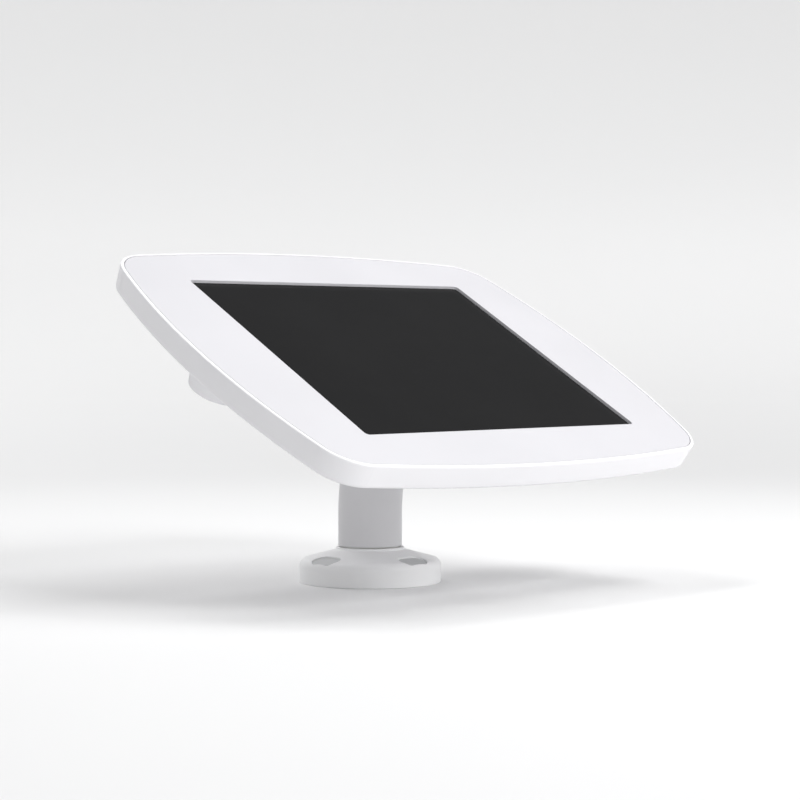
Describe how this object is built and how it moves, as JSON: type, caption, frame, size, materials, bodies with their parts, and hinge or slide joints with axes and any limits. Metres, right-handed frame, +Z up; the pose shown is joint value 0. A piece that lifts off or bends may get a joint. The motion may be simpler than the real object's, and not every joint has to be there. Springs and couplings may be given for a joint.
{
  "type": "counter tablet display stand",
  "caption": "Customer-facing tablet display: a locked tablet housing that turns on a short bent pole, which swivels on a round foot bolted to the counter.",
  "frame": {"origin": "middle of the foot's underside on the counter, which is the middle of the counter bolt circle", "axes": "+Z up along the foot's swivel axis, -Y the way the screen faces, +X along the housing's long side to the right as the user sees it"},
  "size_m": [0.3084, 0.2041, 0.1861],
  "materials": {
    "painted_white": "smooth satin powder coat",
    "painted_tube": "satin powder coat",
    "cap_grey": "fine matt",
    "black_rubber": "matt",
    "white_acetal": "smooth",
    "turned_aluminium": "turned",
    "zinc_steel": "zinc plated",
    "lock_chrome": "polished",
    "tablet_aluminium": "bead blasted",
    "screen_glass": "polished, black while switched off",
    "screen_panel": "smooth",
    "cell_foil": "foil wrapped",
    "circuit_board": "solder mask",
    "socket_metal": "pressed"
  },
  "bodies": {
    "base": {"base_flange": "painted_white", "base_gasket": "black_rubber", "foot_ring": "white_acetal", "foot_washer": "white_acetal", "foot_stop_pin": "zinc_steel", "screw_cap_right": "cap_grey", "screw_cap_back": "cap_grey", "screw_cap_left": "cap_grey", "screw_cap_front": "cap_grey"},
    "pole": {"pole_tube": "painted_tube", "foot_spigot": "turned_aluminium", "foot_retainer": "zinc_steel", "foot_retainer_screws": "zinc_steel", "head_spindle": "turned_aluminium", "hub_retainer": "zinc_steel", "hub_retainer_screws": "zinc_steel"},
    "head": {"head_hub": "painted_white", "hub_ring": "white_acetal", "hub_washer": "white_acetal", "hub_stop_pin": "zinc_steel", "hub_screws": "zinc_steel", "cable_grommet": "black_rubber", "housing_shell": "painted_white", "faceplate": "painted_white", "faceplate_catch": "zinc_steel", "faceplate_tabs": "zinc_steel", "tab_keepers": "zinc_steel", "tablet_brackets": "zinc_steel", "bracket_screws": "zinc_steel", "rubber_pads": "black_rubber", "tablet_back_shell": "tablet_aluminium", "tablet_glass": "screen_glass", "tablet_screen": "screen_panel", "tablet_battery": "cell_foil", "tablet_logic_board": "circuit_board", "tablet_charging_socket": "socket_metal", "lock_boss": "painted_white", "lock_barrel": "lock_chrome", "lock_nut": "zinc_steel"},
    "lock": {"lock_plug": "lock_chrome", "lock_cam": "zinc_steel", "cam_screw": "zinc_steel"},
    "power_key": {"power_button": "tablet_aluminium"},
    "volume_up_key": {"volume_up_button": "tablet_aluminium"},
    "volume_down_key": {"volume_down_button": "tablet_aluminium"}
  },
  "joints": [
    {"name": "pole_swivel", "type": "hinge", "parent": "base", "child": "pole", "pos_m": [0, 0, 0.0199], "axis": [0, 0, 1], "range_deg": [-165, 165]},
    {"name": "head_turn", "type": "hinge", "parent": "pole", "child": "head", "pos_m": [0, -0.0248, 0.10875], "axis": [0, -0.5, 0.866], "range_deg": [-90, 90]},
    {"name": "lock_turn", "type": "hinge", "parent": "head", "child": "lock", "pos_m": [-0.13, -0.01984, 0.10976], "axis": [0, -0.5, 0.866], "range_deg": [0, 90]},
    {"name": "power_press", "type": "slide", "parent": "head", "child": "power_key", "axis": [1, 0, 0], "range_m": [0, 0.0004], "stiffness_N_per_m": 400, "springref_m": -0.0005},
    {"name": "volume_up_press", "type": "slide", "parent": "head", "child": "volume_up_key", "axis": [0, -0.866, -0.5], "range_m": [0, 0.0004], "stiffness_N_per_m": 400, "springref_m": -0.0005},
    {"name": "volume_down_press", "type": "slide", "parent": "head", "child": "volume_down_key", "axis": [0, -0.866, -0.5], "range_m": [0, 0.0004], "stiffness_N_per_m": 400, "springref_m": -0.0005}
  ]
}
